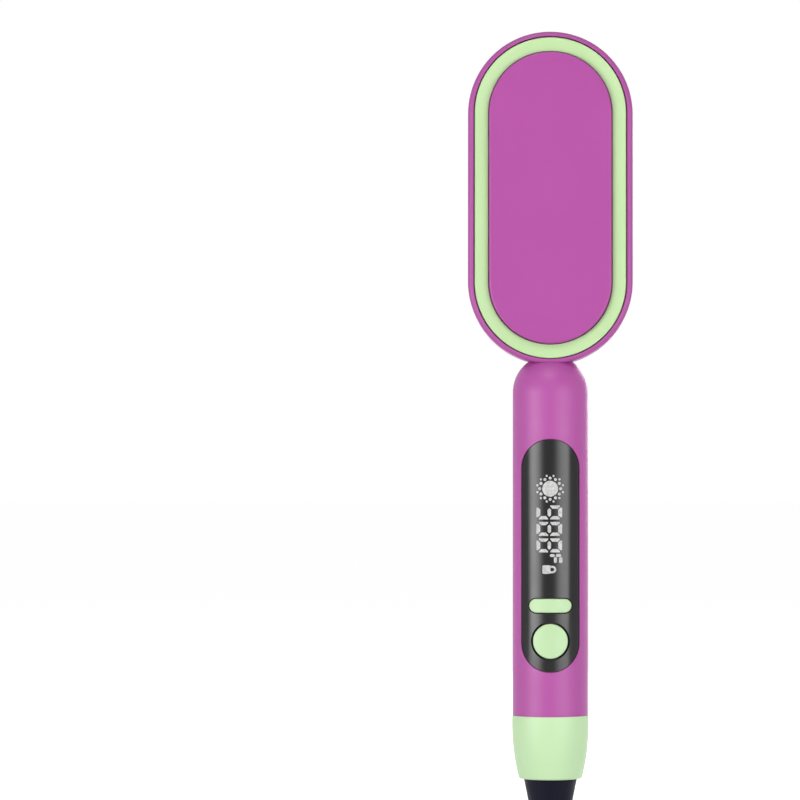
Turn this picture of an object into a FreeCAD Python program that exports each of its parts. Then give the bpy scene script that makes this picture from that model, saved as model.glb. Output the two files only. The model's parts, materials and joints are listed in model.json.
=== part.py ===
import FreeCAD
import Part
import math
import os

# A heated straightening brush, in millimetres, as separate solids that seat on one another.
# The origin is on the axis of the grip, half-way along it. The display faces -Y, the teeth point
# along +Y, and +Z runs up the grip to the head.

Vector = FreeCAD.Vector
Y_AXIS = Vector(0, 1, 0)
Z_AXIS = Vector(0, 0, 1)

# Clearances
turning_fit = 0.08
seat_gap = 0.05
trim_gap = 0.1
lens_gap = 0.3
joint_gap = 0.15
running_gap = 0.3
button_gap = 0.4

# Grip casing
grip_radius = 15.0
grip_wall = 2.5
grip_length = 128.5
spigot_length = 9.0
spigot_wall = 1.6
spigot_overlap = 4.0
seam_width = 0.24
seam_depth = 0.35

# Side strips, let into the rear half of the grip
strip_width = 3.8
strip_depth = 1.2
strip_low_gap = 6.1
strip_top_gap = 3.7
strip_offset = 0.5

# Tail collar
collar_length = 25.05
collar_flare = 0.2
collar_taper = 2.7
collar_bulge = 0.92
collar_rounding = 1.0
collar_web = 3.5
mouth_depth = 4.0

# Tail boot
boot_length = 34.0
boot_entry = 1.6
boot_rim = 1.9
boot_tail_radius = 5.0
boot_hollow = 0.4
boot_tail_rounding = 0.7
boot_groove_count = 4
boot_groove_pitch = 4.6
boot_groove_width = 1.6
boot_groove_depth = 0.8
boot_first_groove = 4.0
cord_hole_radius = 3.3
spindle_socket = 7.6

# Cord swivel
spindle_radius = 4.2
spindle_tail_radius = 6.0
spindle_flange_inset = 0.5
spindle_neck_radius = 3.4
spindle_head = 1.5
wire_hole_radius = 2.0
bush_radius = 5.8
bush_flange_radius = 7.4
bush_flange = 1.5
retainer_radius = 6.4
retainer_thickness = 1.2
retainer_bite = 0.5
retainer_mouth = 4.4
retainer_shoulder = 2.0
ring_radius = 4.3
ring_height = 2.5
ring_spacing = 2.0
brush_width = 3.0
brush_height = 1.8
brush_length = 2.6
brush_standout = 0.85
contact_width = 6.4
contact_depth = 2.6
contact_margin = 1.2

# Display lens and the window behind it
lens_width = 22.45
lens_low_gap = 17.75
lens_top_gap = 18.95
lens_thickness = 1.2
window_ledge = 2.3

# Buttons and their switches
button_travel = 0.6
button_proud = 0.3
button_wall = 1.5
button_rounding = 0.5
button_stem_radius = 2.0
lug_width = 6.0
lug_reach = 1.0
lug_thickness = 1.0
power_radius = 6.85
power_rise = 12.15
power_recess = 0.8
mode_side_gap = 0.6
mode_height = 5.5
mode_rise = 26.15
switch_size = 6.0
switch_height = 3.5
plunger_radius = 1.6
plunger_fit = 0.1
plunger_proud = 0.8
plunger_length = 2.0

# Control board and what stands on it
board_front = 4.6
board_thickness = 1.6
board_low_gap = 10.2
board_top_gap = 2.0
board_screw_radius = 1.1
board_screw_head_radius = 2.0
board_screw_head = 1.3
board_screw_length = 4.4
board_screw_inset = 4.0
board_screw_offset = 6.4
board_boss_radius = 2.2
display_width = 13.0
display_gap = 1.0
display_low_gap = 10.3
display_top_gap = 13.4
terminal_width = 8.0
terminal_height = 5.2
terminal_length = 6.0
terminal_inset = 2.0
capacitor_width = 8.0
capacitor_height = 7.0
capacitor_length = 13.0
capacitor_rise = 18.0
choke_radius = 5.0
choke_height = 8.0
choke_rise = 31.0
triac_width = 10.0
triac_height = 4.5
triac_length = 15.0
triac_rise = 45.0
controller_width = 10.0
controller_height = 1.6
controller_length = 10.0
controller_rise = 59.0

# Head casing
head_width = 65.5
head_length = 132.2
head_wall = 2.0
head_front = 9.5
head_seam = 2.4
head_rear = 9.7
head_reach = 11.05
front_rounding = 1.8
rear_rounding = 0.9
front_floor = 1.8
recess_depth = 3.6
rim_width = 2.25
face_stretch = 0.35
rear_ledge = 1.4
rear_ledge_width = 1.6
rear_rebate = 1.6

# Trim ring and cover panel
ring_width = 5.35
ring_gap = 0.4
ring_rounding = 0.35
ring_drop = 0.4
ring_dish = 1.4
panel_proud = 0.4
panel_rounding = 0.9

# Neck tenon, part of the rear head shell
tenon_width = 14.0
tenon_front = 2.2
tenon_back = 6.8
tenon_length = 22.0
tenon_wall = 1.4
tenon_screw_wall = 3.8
neck_screw_drop = 9.6
neck_screw_radius = 1.4
neck_screw_head_radius = 2.5
neck_screw_head = 2.0
neck_screw_bite = 3.2
neck_boss_wall = 1.5
neck_boss_floor = 3.2
neck_recess_radius = 3.0

# Heat guard frame and comb plate
guard_proud = 0.2
guard_rounding = 0.5
guard_depth = 3.0
guard_band = 2.4
guard_lip = 1.2
guard_lip_width = 1.5
plate_proud = 1.0
plate_flange = 1.5
plate_rounding = 0.8
post_radius = 2.1
post_corner_angle = 45.0
head_screw_radius = 1.1
head_screw_head_radius = 2.0
head_screw_head = 0.9
head_screw_bite = 7.0

# Heated teeth
tooth_row_pitch = 8.2
tooth_column_pitch = 6.2
tooth_margin = 2.75
tooth_length = 12.5
tooth_base_radius = 1.3
tooth_end_radius = 0.75
tip_radius = 1.15
tip_length = 2.1
tip_crown_radius = 0.6
tooth_sides = 8

# Heater stack
heater_width = 14.0
heater_overhang = 9.3
heater_thickness = 1.5
heater_spacing = 20.0
mica_thickness = 0.6
clamp_thickness = 1.2
clamp_margin = 2.25
clamp_boss_radius = 2.2
clamp_screw_radius = 1.2
clamp_screw_head_radius = 2.2
clamp_screw_head = 1.4
clamp_screw_bite = 3.4
press_post_radius = 2.2
press_post_across = 24.0
press_post_inset = 5.6
sensor_width = 5.0
sensor_height = 2.0
sensor_length = 4.0
sensor_offset = 6.0
fuse_radius = 1.6
fuse_length = 12.0
fuse_offset = 6.0
fuse_clip = 0.8
fuse_clip_length = 6.0

# Leads
lead_radius = 0.7
lead_spacing = 4.6
lead_bend = 3.0
lead_margin = 3.0

# Levels along the grip
seam_z = -grip_length / 2
dome_z = grip_length / 2
collar_z = seam_z - collar_length
tail_z = collar_z - boot_length
head_bottom_z = dome_z + head_reach
head_z = head_bottom_z + head_length / 2
web_low_z = collar_z + mouth_depth
web_high_z = web_low_z + collar_web
boot_top_z = collar_z + boot_entry
cord_hole_end_z = boot_top_z - spindle_socket
bush_top_z = web_high_z + bush_flange
retainer_z = bush_top_z + running_gap
ring_z = retainer_z + retainer_thickness + retainer_shoulder
spindle_top_z = ring_z + 2 * ring_height + ring_spacing + spindle_head
spigot_z = seam_z - spigot_length
tenon_low_z = head_bottom_z - tenon_length
board_low_z = seam_z + board_low_gap
board_high_z = tenon_low_z - board_top_gap
strip_low_z = seam_z + strip_low_gap
strip_high_z = dome_z - strip_top_gap
lens_low_z = seam_z + lens_low_gap
lens_high_z = dome_z - lens_top_gap
lens_middle = (lens_low_z + lens_high_z) / 2
lens_length = lens_high_z - lens_low_z
power_z = lens_low_z + power_rise
mode_z = lens_low_z + mode_rise
display_low_z = mode_z + display_low_gap
display_high_z = lens_high_z - display_top_gap
neck_screw_z = head_bottom_z - neck_screw_drop

# Radii and depths worked out from the sizes above
grip_inner = grip_radius - grip_wall
spigot_radius = grip_inner + seam_depth + seat_gap
spigot_inner = spigot_radius - spigot_wall
collar_top_radius = grip_radius + collar_flare
collar_bottom_radius = collar_top_radius - collar_taper
boot_top_radius = collar_bottom_radius - boot_rim
spindle_flange_radius = boot_top_radius - spindle_flange_inset
lens_inner = grip_radius - lens_thickness
lens_spine = (lens_length - lens_width) / 2
board_back = board_front - board_thickness
board_half_width = math.sqrt((grip_inner - button_gap) ** 2 - board_front ** 2)
window_radius = lens_width / 2 - window_ledge
mode_width = 2 * (window_radius - mode_side_gap)
display_face = math.sqrt(lens_inner ** 2 - (display_width / 2) ** 2) - display_gap
button_skirt = board_front + switch_height + button_travel + running_gap
head_radius = head_width / 2
head_spine = (head_length - head_width) / 2
face_spine = head_spine + face_stretch
head_inner = head_radius - head_wall
recess_radius = head_radius - rim_width
recess_floor = head_front - recess_depth
floor_back = recess_floor - front_floor
trim_radius = recess_radius - ring_gap
trim_inner = trim_radius - ring_width
panel_radius = trim_inner - ring_gap
rebate_floor = head_rear - rear_rebate
ledge_front = rebate_floor - rear_ledge
ledge_radius = head_inner - rear_ledge_width
guard_radius = head_inner - joint_gap
guard_face = head_rear + guard_proud
guard_front = rebate_floor - guard_depth
guard_spigot_radius = ledge_radius - joint_gap
guard_bore = guard_spigot_radius - guard_band
lip_radius = guard_bore - guard_lip_width
lip_front = guard_face - guard_lip
plate_field_radius = lip_radius - joint_gap
plate_flange_radius = guard_bore - joint_gap
plate_face = guard_face + plate_proud
plate_back = lip_front - plate_flange
post_line = guard_spigot_radius - post_radius
tooth_field_radius = plate_field_radius - tooth_margin
clamp_radius = plate_field_radius - clamp_margin
heater_half_length = head_spine + heater_overhang
heater_front = plate_back - heater_thickness
mica_front = heater_front - mica_thickness
clamp_front = mica_front - clamp_thickness
contact_face = ring_radius + joint_gap
contact_front = contact_face + brush_standout
contact_back = contact_front + contact_depth
tip_seat = plate_face + tooth_length
lead_y = -tenon_front + tenon_wall + (tenon_front + tenon_back - tenon_wall - tenon_screw_wall) / 2


def box(x_low, x_high, y_low, y_high, z_low, z_high):
    return Part.makeBox(x_high - x_low, y_high - y_low, z_high - z_low, Vector(x_low, y_low, z_low))


def block(width, y_low, y_high, length, middle, x_middle=0.0):
    """A block that is centred across the grip and about one height."""
    half = width / 2
    return box(x_middle - half, x_middle + half, y_low, y_high, middle - length / 2, middle + length / 2)


def disc(radius, z_low, z_high):
    return Part.makeCylinder(radius, z_high - z_low, Vector(0, 0, z_low))


def tube(radius, bore, z_low, z_high):
    return disc(radius, z_low, z_high).cut(disc(bore, z_low, z_high))


def rod(radius, x, z, y_low, y_high):
    """A round bar along Y."""
    return Part.makeCylinder(radius, y_high - y_low, Vector(x, y_low, z), Y_AXIS)


def turned(start, steps):
    """Turn a closed (radius, height) outline about Z. A step of four numbers is an arc."""
    edges = []
    here = Vector(start[0], 0, start[1])
    for step in steps + [start]:
        end = Vector(step[-2], 0, step[-1])
        if len(step) == 4:
            edges.append(Part.Arc(here, Vector(step[0], 0, step[1]), end).toShape())
        else:
            edges.append(Part.makeLine(here, end))
        here = end
    return Part.Face(Part.Wire(edges)).revolve(Vector(0, 0, 0), Z_AXIS, 360)


def stadium_wire(radius, spine, middle, y):
    """A round-ended outline that stands upright in the plane of one depth y."""
    low = middle - spine
    high = middle + spine
    turns = ((1, low), (1, high), (-1, high), (-1, low))
    corners = [Vector(side * radius, y, level) for side, level in turns]
    edges = [
        Part.makeLine(corners[0], corners[1]),
        Part.Arc(corners[1], Vector(0, y, high + radius), corners[2]).toShape(),
        Part.makeLine(corners[2], corners[3]),
        Part.Arc(corners[3], Vector(0, y, low - radius), corners[0]).toShape(),
    ]
    return Part.Wire(edges)


def stadium(radius, spine, middle, y_low, y_high):
    return Part.Face(stadium_wire(radius, spine, middle, y_low)).extrude(Vector(0, y_high - y_low, 0))


def head_slab(radius, y_low, y_high):
    return stadium(radius, head_spine, head_z, y_low, y_high)


def face_slab(radius, y_low, y_high):
    """A slab for the ring and panel, which run a little farther to the head's ends."""
    return stadium(radius, face_spine, head_z, y_low, y_high)


def round_edges(shape, radius, y):
    """Round every edge that lies in the plane of one depth y."""
    flat = [e for e in shape.Edges if abs(e.BoundBox.YMin - y) + abs(e.BoundBox.YMax - y) < 0.01]
    return shape.makeFillet(radius, flat)


def lead(points):
    """A round wire through the points, with an arc of one bend radius at each corner."""
    path = [Vector(*point) for point in points]
    edges = []
    here = path[0]
    for before, corner, after in zip(path, path[1:], path[2:]):
        back = (before - corner).normalize()
        ahead = (after - corner).normalize()
        half_turn = (math.pi - back.getAngle(ahead)) / 2
        setback = lead_bend * math.tan(half_turn)
        centre_line = (back + ahead).normalize()
        centre = corner + centre_line * (lead_bend / math.cos(half_turn))
        start = corner + back * setback
        end = corner + ahead * setback
        edges.append(Part.makeLine(here, start))
        edges.append(Part.Arc(start, centre - centre_line * lead_bend, end).toShape())
        here = end
    edges.append(Part.makeLine(here, path[-1]))
    circle = Part.Wire(Part.makeCircle(lead_radius, path[0], path[1] - path[0]))
    return Part.Wire(edges).makePipeShell([circle], True, False)


def head_posts():
    """Where the head screws stand: half-way up each side and in each corner of the outline."""
    across = post_line * math.sin(math.radians(post_corner_angle))
    along = head_spine + post_line * math.cos(math.radians(post_corner_angle))
    corners = [(side * across, head_z + end * along) for side in (-1, 1) for end in (-1, 1)]
    return corners + [(-post_line, head_z), (post_line, head_z)]


def clamp_bosses():
    return [head_z - head_spine, head_z, head_z + head_spine]


def board_holes():
    rows = (board_low_z + board_screw_inset, board_high_z - board_screw_inset)
    return [(side * board_screw_offset, row) for side in (-1, 1) for row in rows]


def tooth_places():
    """Staggered rows across the comb plate, kept inside a round-ended field."""
    rows = int(2 * (head_spine + tooth_field_radius) / tooth_row_pitch) + 1
    columns = int(2 * tooth_field_radius / tooth_column_pitch) + 1
    places = []
    for row in range(rows):
        z = (row - (rows - 1) / 2) * tooth_row_pitch
        past_end = max(abs(z) - head_spine, 0.0)
        count = columns - (row + columns) % 2
        for column in range(count):
            x = (column - (count - 1) / 2) * tooth_column_pitch
            if math.hypot(x, past_end) <= tooth_field_radius:
                places.append((x, head_z + z))
    return places


def faceted(rings, sides):
    """A slim solid along +Y that is drawn through rings of (radius, depth)."""
    wires = []
    for radius, y in rings:
        turns = [math.tau * (side + 0.5) / sides for side in range(sides)]
        corners = [Vector(radius * math.cos(turn), y, radius * math.sin(turn)) for turn in turns]
        wires.append(Part.makePolygon(corners + corners[:1]))
    return Part.makeLoft(wires, True, True)


def copies(shape, places):
    """Separate copies of one shape, moved to each (x, z) place."""
    return Part.makeCompound([shape.translated(Vector(x, 0, z)) for x, z in places])


def grip_body(radius):
    return disc(radius, seam_z, dome_z).fuse(Part.makeSphere(radius, Vector(0, 0, dome_z))).cut(
        disc(2 * radius, seam_z - 2 * radius, seam_z))


def half_space(front):
    """A block that holds all of the grip in front of its parting plane, or all of it behind."""
    reach = 2 * grip_radius
    y_low, y_high = (-reach, 0) if front else (0, reach)
    return box(-reach, reach, y_low, y_high, tail_z, head_z)


def head_space():
    """The room that the head takes out of the dome, with a joint gap all round."""
    space = head_slab(head_radius + joint_gap, -head_front - joint_gap, head_rear + joint_gap)
    space = round_edges(space, front_rounding + joint_gap, -head_front - joint_gap)
    return round_edges(space, rear_rounding + joint_gap, head_rear + joint_gap)


def grip_half(front):
    shell = grip_body(grip_radius).cut(grip_body(grip_inner))
    shell = shell.fuse(tube(spigot_radius, spigot_inner, spigot_z, seam_z + spigot_overlap))
    groove = box(-grip_radius, grip_radius, -seam_width / 2, seam_width / 2, seam_z, head_z)
    shell = shell.cut(groove.cut(grip_body(grip_radius - seam_depth)))
    ring_groove = tube(grip_radius, grip_radius - seam_depth, seam_z, seam_z + seam_width)
    shell = shell.cut(ring_groove)
    shell = shell.cut(head_space())
    neck = box(-tenon_width / 2 - joint_gap, tenon_width / 2 + joint_gap, -tenon_front - joint_gap,
               tenon_back + joint_gap, tenon_low_z, head_z)
    return shell.cut(neck).common(half_space(front))


def lens_patch(radius, spine, inner, outer):
    patch = tube(outer, inner, seam_z, dome_z)
    return patch.common(stadium(radius, spine, lens_middle, -2 * grip_radius, 0))


def handle_front_shell():
    shell = grip_half(True)
    for x, z in board_holes():
        boss = rod(board_boss_radius, x, z, -grip_radius, -board_front)
        shell = shell.fuse(boss.common(disc(grip_radius - grip_wall / 2, seam_z, dome_z)))
    pocket_radius = lens_width / 2 + lens_gap
    shell = shell.cut(lens_patch(pocket_radius, lens_spine, lens_inner - seat_gap, 2 * grip_radius))
    window_end = -board_front - board_boss_radius
    shell = shell.cut(stadium(window_radius, lens_spine, lens_middle, -2 * grip_radius, window_end))
    for x, z in board_holes():
        pilot_end = -board_front - board_screw_length
        shell = shell.cut(rod(board_screw_radius + seat_gap, x, z, pilot_end, -board_front))
    return shell


def strip_prism(side, gap):
    """A round-ended bar along X that marks out one side strip."""
    radius = strip_width / 2
    spine = (strip_high_z - strip_low_z) / 2 - radius
    prism = stadium(radius + gap, spine, (strip_low_z + strip_high_z) / 2, 0, 2 * grip_radius)
    prism.rotate(Vector(0, 0, 0), Z_AXIS, -90 * side)
    prism.translate(Vector(0, strip_offset + trim_gap + radius, 0))
    return prism


def side_strip(side):
    skin = tube(grip_radius, grip_radius - strip_depth, seam_z, dome_z)
    return skin.common(strip_prism(side, 0))


def handle_rear_shell():
    shell = grip_half(False)
    skin = tube(2 * grip_radius, grip_radius - strip_depth, seam_z, dome_z)
    for side in (-1, 1):
        shell = shell.cut(skin.common(strip_prism(side, trim_gap)))
    seat = neck_boss_floor + tenon_back + joint_gap
    boss = rod(neck_recess_radius + neck_boss_wall, 0, neck_screw_z, tenon_back + joint_gap, 2 * grip_radius)
    shell = shell.fuse(boss.common(grip_body(grip_radius - grip_wall / 2)))
    shell = shell.cut(rod(neck_recess_radius, 0, neck_screw_z, seat, 2 * grip_radius))
    shell = shell.cut(rod(neck_screw_radius + joint_gap, 0, neck_screw_z, 0, 2 * grip_radius))
    pad_low = contact_z() - contact_height() / 2
    bore = disc(spigot_inner - seat_gap, pad_low, spigot_z).fuse(disc(spigot_radius, spigot_z, seam_z))
    pad = block(contact_width, contact_back, grip_radius, contact_height(), contact_z())
    return shell.fuse(pad.common(bore))


def contact_height():
    return 2 * ring_height + ring_spacing


def contact_z():
    return ring_z + contact_height() / 2


def ring_levels():
    return (ring_z, ring_z + ring_height + ring_spacing)


def neck_screw():
    seat = neck_boss_floor + tenon_back + joint_gap
    shank = rod(neck_screw_radius, 0, neck_screw_z, tenon_back - neck_screw_bite, seat)
    return shank.fuse(rod(neck_screw_head_radius, 0, neck_screw_z, seat, seat + neck_screw_head))


def tail_collar():
    mean_radius = (collar_top_radius + collar_bottom_radius) / 2 + collar_bulge
    mean_z = (collar_z + seam_z) / 2
    body = turned((0, collar_z), [
        (collar_bottom_radius, collar_z),
        (mean_radius, mean_z, collar_top_radius, seam_z),
        (0, seam_z),
    ])
    rim = [e for e in body.Edges if abs(e.BoundBox.ZMax - collar_z) < 0.01 and e.BoundBox.XLength > 0.01]
    body = body.makeFillet(collar_rounding, [e for e in rim if e.BoundBox.YLength > 0.01])
    body = body.cut(disc(boot_top_radius + running_gap, collar_z, web_low_z))
    body = body.cut(disc(bush_radius, web_low_z, web_high_z))
    body = body.cut(disc(spigot_inner, web_high_z, seam_z))
    return body.cut(disc(spigot_radius + seat_gap, spigot_z, seam_z))


def swivel_bush():
    sleeve = disc(bush_radius - seat_gap, web_low_z, web_high_z)
    flange = disc(bush_flange_radius, web_high_z, bush_top_z)
    return sleeve.fuse(flange).cut(disc(spindle_radius + turning_fit, web_low_z, bush_top_z))


def swivel_spindle():
    flange_top = web_low_z - running_gap
    body = disc(spindle_tail_radius - seat_gap, cord_hole_end_z, boot_top_z)
    body = body.fuse(disc(spindle_flange_radius, boot_top_z, flange_top))
    body = body.fuse(disc(spindle_radius, flange_top, ring_z))
    body = body.fuse(disc(spindle_neck_radius, ring_z, spindle_top_z))
    low, high = ring_levels()
    body = body.fuse(disc(spindle_radius, low + ring_height, high))
    body = body.fuse(disc(spindle_radius, high + ring_height, spindle_top_z))
    groove = tube(2 * spindle_radius, spindle_radius - retainer_bite, retainer_z - seat_gap,
                  retainer_z + retainer_thickness + seat_gap)
    return body.cut(groove).cut(disc(wire_hole_radius, cord_hole_end_z, spindle_top_z))


def swivel_retainer():
    bore = spindle_radius - retainer_bite + seat_gap
    clip = tube(retainer_radius, bore, retainer_z, retainer_z + retainer_thickness)
    half = retainer_mouth / 2
    return clip.cut(box(-half, half, -2 * retainer_radius, 0, retainer_z, retainer_z + retainer_thickness))


def slip_rings():
    bore = spindle_neck_radius + seat_gap
    return Part.makeCompound([tube(ring_radius, bore, z, z + ring_height) for z in ring_levels()])


def brush_block(gap, level):
    middle = level + ring_height / 2
    back = contact_face + brush_length + gap
    return block(brush_width + 2 * gap, contact_face, back, brush_height + 2 * gap, middle)


def contact_block():
    height = contact_height() + 2 * contact_margin
    body = block(contact_width, contact_front, contact_back, height, contact_z())
    for level in ring_levels():
        body = body.cut(brush_block(seat_gap, level))
    return body


def contact_brushes():
    return Part.makeCompound([brush_block(0, level) for level in ring_levels()])


def cord_boot():
    mean_radius = (boot_tail_radius + boot_top_radius) / 2 - boot_hollow
    mean_z = (tail_z + collar_z) / 2
    body = turned((0, tail_z), [
        (boot_tail_radius, tail_z),
        (mean_radius, mean_z, boot_top_radius, collar_z),
        (boot_top_radius, boot_top_z),
        (0, boot_top_z),
    ])
    rim = [e for e in body.Edges if abs(e.BoundBox.ZMax - tail_z) < 0.01 and e.BoundBox.YLength > 0.01]
    body = body.makeFillet(boot_tail_rounding, rim)
    slope = (boot_top_radius - boot_tail_radius) / boot_length
    for groove in range(boot_groove_count):
        rise = boot_first_groove + groove * boot_groove_pitch
        floor = boot_tail_radius + slope * rise - boot_hollow - boot_groove_depth
        low = tail_z + rise
        body = body.cut(tube(2 * boot_top_radius, floor, low, low + boot_groove_width))
    body = body.cut(disc(cord_hole_radius, tail_z, cord_hole_end_z))
    return body.cut(disc(spindle_tail_radius, cord_hole_end_z, boot_top_z))


def mode_prism(gap, y_low, y_high):
    """The pill outline of the mode button, lying across the grip."""
    radius = mode_height / 2
    prism = stadium(radius + gap, mode_width / 2 - radius, mode_z, y_low, y_high)
    prism.rotate(Vector(0, 0, mode_z), Y_AXIS, 90)
    return prism


def display_lens():
    lens = lens_patch(lens_width / 2, lens_spine, lens_inner, grip_radius)
    lens = lens.cut(rod(power_radius + power_recess, 0, power_z, -2 * grip_radius, 0))
    return lens.cut(mode_prism(button_gap, -2 * grip_radius, 0))


def button(middle, prism, inner_prism, half_height, gap):
    """A hollow cap whose face follows the grip, with a stem on the switch and two lugs under the lens."""
    plunger_face = board_front + switch_height + plunger_proud
    crown = grip_radius + button_proud
    cap = prism(-2 * grip_radius, -button_skirt).common(disc(crown, seam_z, dome_z))
    hollow = inner_prism(-2 * grip_radius, -button_skirt)
    cap = cap.cut(hollow.common(disc(crown - button_wall, seam_z, dome_z)))
    stem = rod(button_stem_radius, 0, middle, -crown + button_wall / 2, -plunger_face)
    lug_top = math.sqrt(lens_inner ** 2 - (lug_width / 2) ** 2) - running_gap
    lug = block(lug_width, -lug_top, -lug_top + lug_thickness, 2 * (half_height + gap + lug_reach), middle)
    return cap.fuse(stem).fuse(lug.cut(inner_prism(-lug_top, -lug_top + lug_thickness)))


def rounded_crown(shape):
    """Round the rim where a button's side meets its curved face."""
    crown = grip_radius + button_proud
    rim = []
    for edge in shape.Edges:
        radii = [math.hypot(vertex.X, vertex.Y) for vertex in edge.Vertexes]
        middle = edge.valueAt((edge.FirstParameter + edge.LastParameter) / 2)
        radii.append(math.hypot(middle.x, middle.y))
        if max(abs(radius - crown) for radius in radii) < 0.01:
            rim.append(edge)
    return shape.makeFillet(button_rounding, rim)


def power_button():
    inner = power_radius - button_wall
    shape = button(
        power_z,
        lambda low, high: rod(power_radius, 0, power_z, low, high),
        lambda low, high: rod(inner, 0, power_z, low, high),
        power_radius, power_recess)
    return rounded_crown(shape)


def mode_button():
    shape = button(
        mode_z,
        lambda low, high: mode_prism(0, low, high),
        lambda low, high: mode_prism(-button_wall, low, high),
        mode_height / 2, button_gap)
    return rounded_crown(shape)


def tact_switch(middle):
    top = board_front + switch_height
    body = block(switch_size, -top, -board_front, switch_size, middle)
    well = top - plunger_length + plunger_proud - button_travel - running_gap
    return body.cut(rod(plunger_radius + plunger_fit, 0, middle, -top, -well))


def switch_plunger(middle):
    face = board_front + switch_height + plunger_proud
    return rod(plunger_radius, 0, middle, -face, -face + plunger_length)


def control_board():
    board = box(-board_half_width, board_half_width, -board_front, -board_back, board_low_z, board_high_z)
    for x, z in board_holes():
        board = board.cut(rod(board_screw_radius + joint_gap, x, z, -board_front, -board_back))
    return board


def board_screws():
    shank = rod(board_screw_radius, 0, 0, -board_front - board_screw_length + seat_gap, -board_back)
    head = rod(board_screw_head_radius, 0, 0, -board_back, -board_back + board_screw_head)
    return copies(shank.fuse(head), board_holes())


def display_module():
    half = display_width / 2
    return box(-half, half, -display_face, -board_front, display_low_z, display_high_z)


def terminal_levels():
    inset = terminal_inset + terminal_length / 2
    return (board_low_z + inset, board_high_z - inset)


def board_components():
    back = -board_back
    pieces = [
        block(capacitor_width, back, back + capacitor_height, capacitor_length, board_low_z + capacitor_rise),
        rod(choke_radius, 0, board_low_z + choke_rise, back, back + choke_height),
        block(triac_width, back, back + triac_height, triac_length, board_low_z + triac_rise),
        block(controller_width, back, back + controller_height, controller_length,
              board_low_z + controller_rise),
    ]
    for level in terminal_levels():
        pieces.append(block(terminal_width, back, back + terminal_height, terminal_length, level))
    return Part.makeCompound(pieces)


def supply_leads():
    block_top = contact_z() + contact_height() / 2 + contact_margin
    terminal_low = terminal_levels()[0] - terminal_length / 2
    y = (contact_front + contact_back) / 2
    wires = []
    for side in (-1, 1):
        x = side * lead_spacing / 2
        wires.append(lead([
            (x, y, block_top),
            (x, y, block_top + lead_margin),
            (x, lead_y, terminal_low - lead_margin),
            (x, lead_y, terminal_low),
        ]))
    return Part.makeCompound(wires)


def heater_leads():
    terminal_high = terminal_levels()[1] + terminal_length / 2
    heater_low = head_z - heater_half_length
    guard_edge = head_z - head_spine - guard_bore
    wires = []
    for side in (-1, 1):
        x = side * lead_spacing / 2
        heater_x = side * heater_spacing / 2
        heater_y = (plate_back + heater_front) / 2
        wires.append(lead([
            (x, lead_y, terminal_high),
            (x, lead_y, guard_edge + lead_margin),
            (heater_x, heater_y, heater_low - lead_margin),
            (heater_x, heater_y, heater_low),
        ]))
    return Part.makeCompound(wires)


def head_seam_groove(y_low, y_high):
    return head_slab(head_radius, y_low, y_high).cut(head_slab(head_radius - seam_depth, y_low, y_high))


def head_front_shell():
    shell = round_edges(head_slab(head_radius, -head_front, -head_seam), front_rounding, -head_front)
    shell = shell.cut(face_slab(recess_radius, -head_front, -recess_floor))
    shell = shell.cut(head_slab(head_inner, -floor_back, -head_seam))
    shell = shell.cut(head_seam_groove(-head_seam - seam_width / 2, -head_seam))
    for x in (-press_post_across / 2, press_post_across / 2):
        for z in (head_z - head_spine + press_post_inset, head_z + head_spine - press_post_inset):
            shell = shell.fuse(rod(press_post_radius, x, z, -floor_back, clamp_front))
    seat = recess_floor - head_screw_head - seat_gap
    for x, z in head_posts():
        shell = shell.cut(rod(head_screw_head_radius + joint_gap, x, z, -recess_floor, -seat))
        shell = shell.cut(rod(head_screw_radius + joint_gap, x, z, -recess_floor, -floor_back))
    return shell


def head_rear_shell():
    shell = round_edges(head_slab(head_radius, -head_seam, head_rear), rear_rounding, head_rear)
    tenon_top = head_bottom_z + head_wall
    tenon = box(-tenon_width / 2, tenon_width / 2, -tenon_front, tenon_back, tenon_low_z, tenon_top)
    shell = shell.fuse(tenon)
    shell = shell.cut(head_slab(head_inner, -head_seam, ledge_front))
    shell = shell.cut(head_slab(ledge_radius, ledge_front, head_rear))
    shell = shell.cut(head_slab(head_inner, rebate_floor, head_rear))
    shell = shell.cut(head_seam_groove(-head_seam, -head_seam + seam_width / 2))
    passage = box(-tenon_width / 2 + tenon_wall, tenon_width / 2 - tenon_wall, -tenon_front + tenon_wall,
                  tenon_back - tenon_screw_wall, tenon_low_z, head_bottom_z + 2 * head_wall)
    bite = tenon_back - neck_screw_bite - seat_gap
    return shell.cut(passage).cut(rod(neck_screw_radius + seat_gap, 0, neck_screw_z, bite, tenon_back))


def head_trim_ring():
    ring = face_slab(trim_radius, -head_front + ring_drop, -recess_floor)
    wide = stadium_wire(trim_radius, face_spine, head_z, -head_front + ring_drop)
    narrow = stadium_wire(trim_inner, face_spine, head_z, -head_front + ring_drop + ring_dish)
    ring = ring.cut(Part.makeLoft([wide, narrow], True, True))
    ring = ring.cut(face_slab(trim_inner, -head_front, -recess_floor))
    return round_edges(ring, ring_rounding, -head_front + ring_drop)


def head_cover_panel():
    panel = face_slab(panel_radius, -head_front - panel_proud, -recess_floor)
    return round_edges(panel, panel_rounding, -head_front - panel_proud)


def head_screws():
    seat = -recess_floor + head_screw_head + seat_gap
    shank = rod(head_screw_radius, 0, 0, seat, -floor_back + head_screw_bite)
    return copies(shank.fuse(rod(head_screw_head_radius, 0, 0, seat - head_screw_head, seat)), head_posts())


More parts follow.
